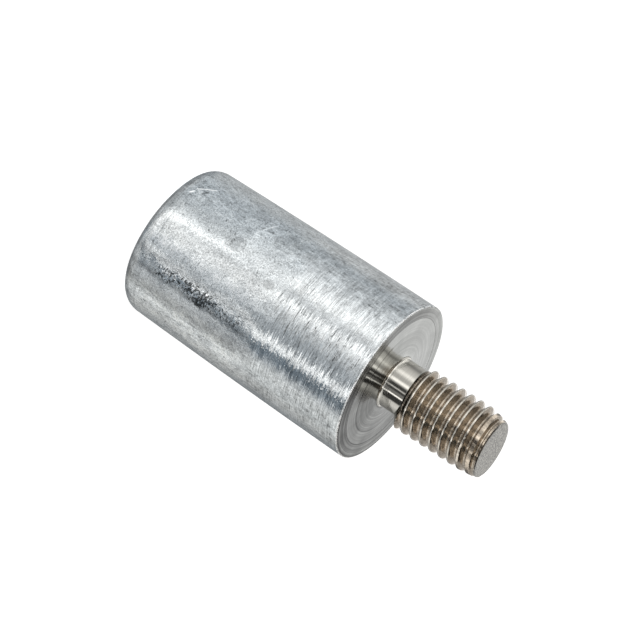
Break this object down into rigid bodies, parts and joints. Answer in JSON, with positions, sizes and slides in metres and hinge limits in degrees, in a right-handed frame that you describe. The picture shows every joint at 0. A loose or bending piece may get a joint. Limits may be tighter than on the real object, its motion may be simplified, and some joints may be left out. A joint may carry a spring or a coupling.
{
  "type": "sacrificial anode",
  "caption": "Pencil-type zinc sacrificial anode: a tapered cast zinc slug with a rounded plain end and a turned face, on a threaded steel stud with a turned-down neck",
  "frame": {"origin": "centre of the plain end, which the anode stands on", "axes": "+Z runs along the axis of the slug and the stud, from the plain end to the tip of the thread"},
  "size_m": [0.0194, 0.0194, 0.0454],
  "materials": {
    "zinc": "cast zinc, blue-grey and mottled on the mould sides, bright where it is turned",
    "stud_steel": "bright stainless steel, rolled thread and turned neck"
  },
  "bodies": {
    "root": {"zinc_body": "zinc", "threaded_stud": "stud_steel"}
  },
  "joints": []
}
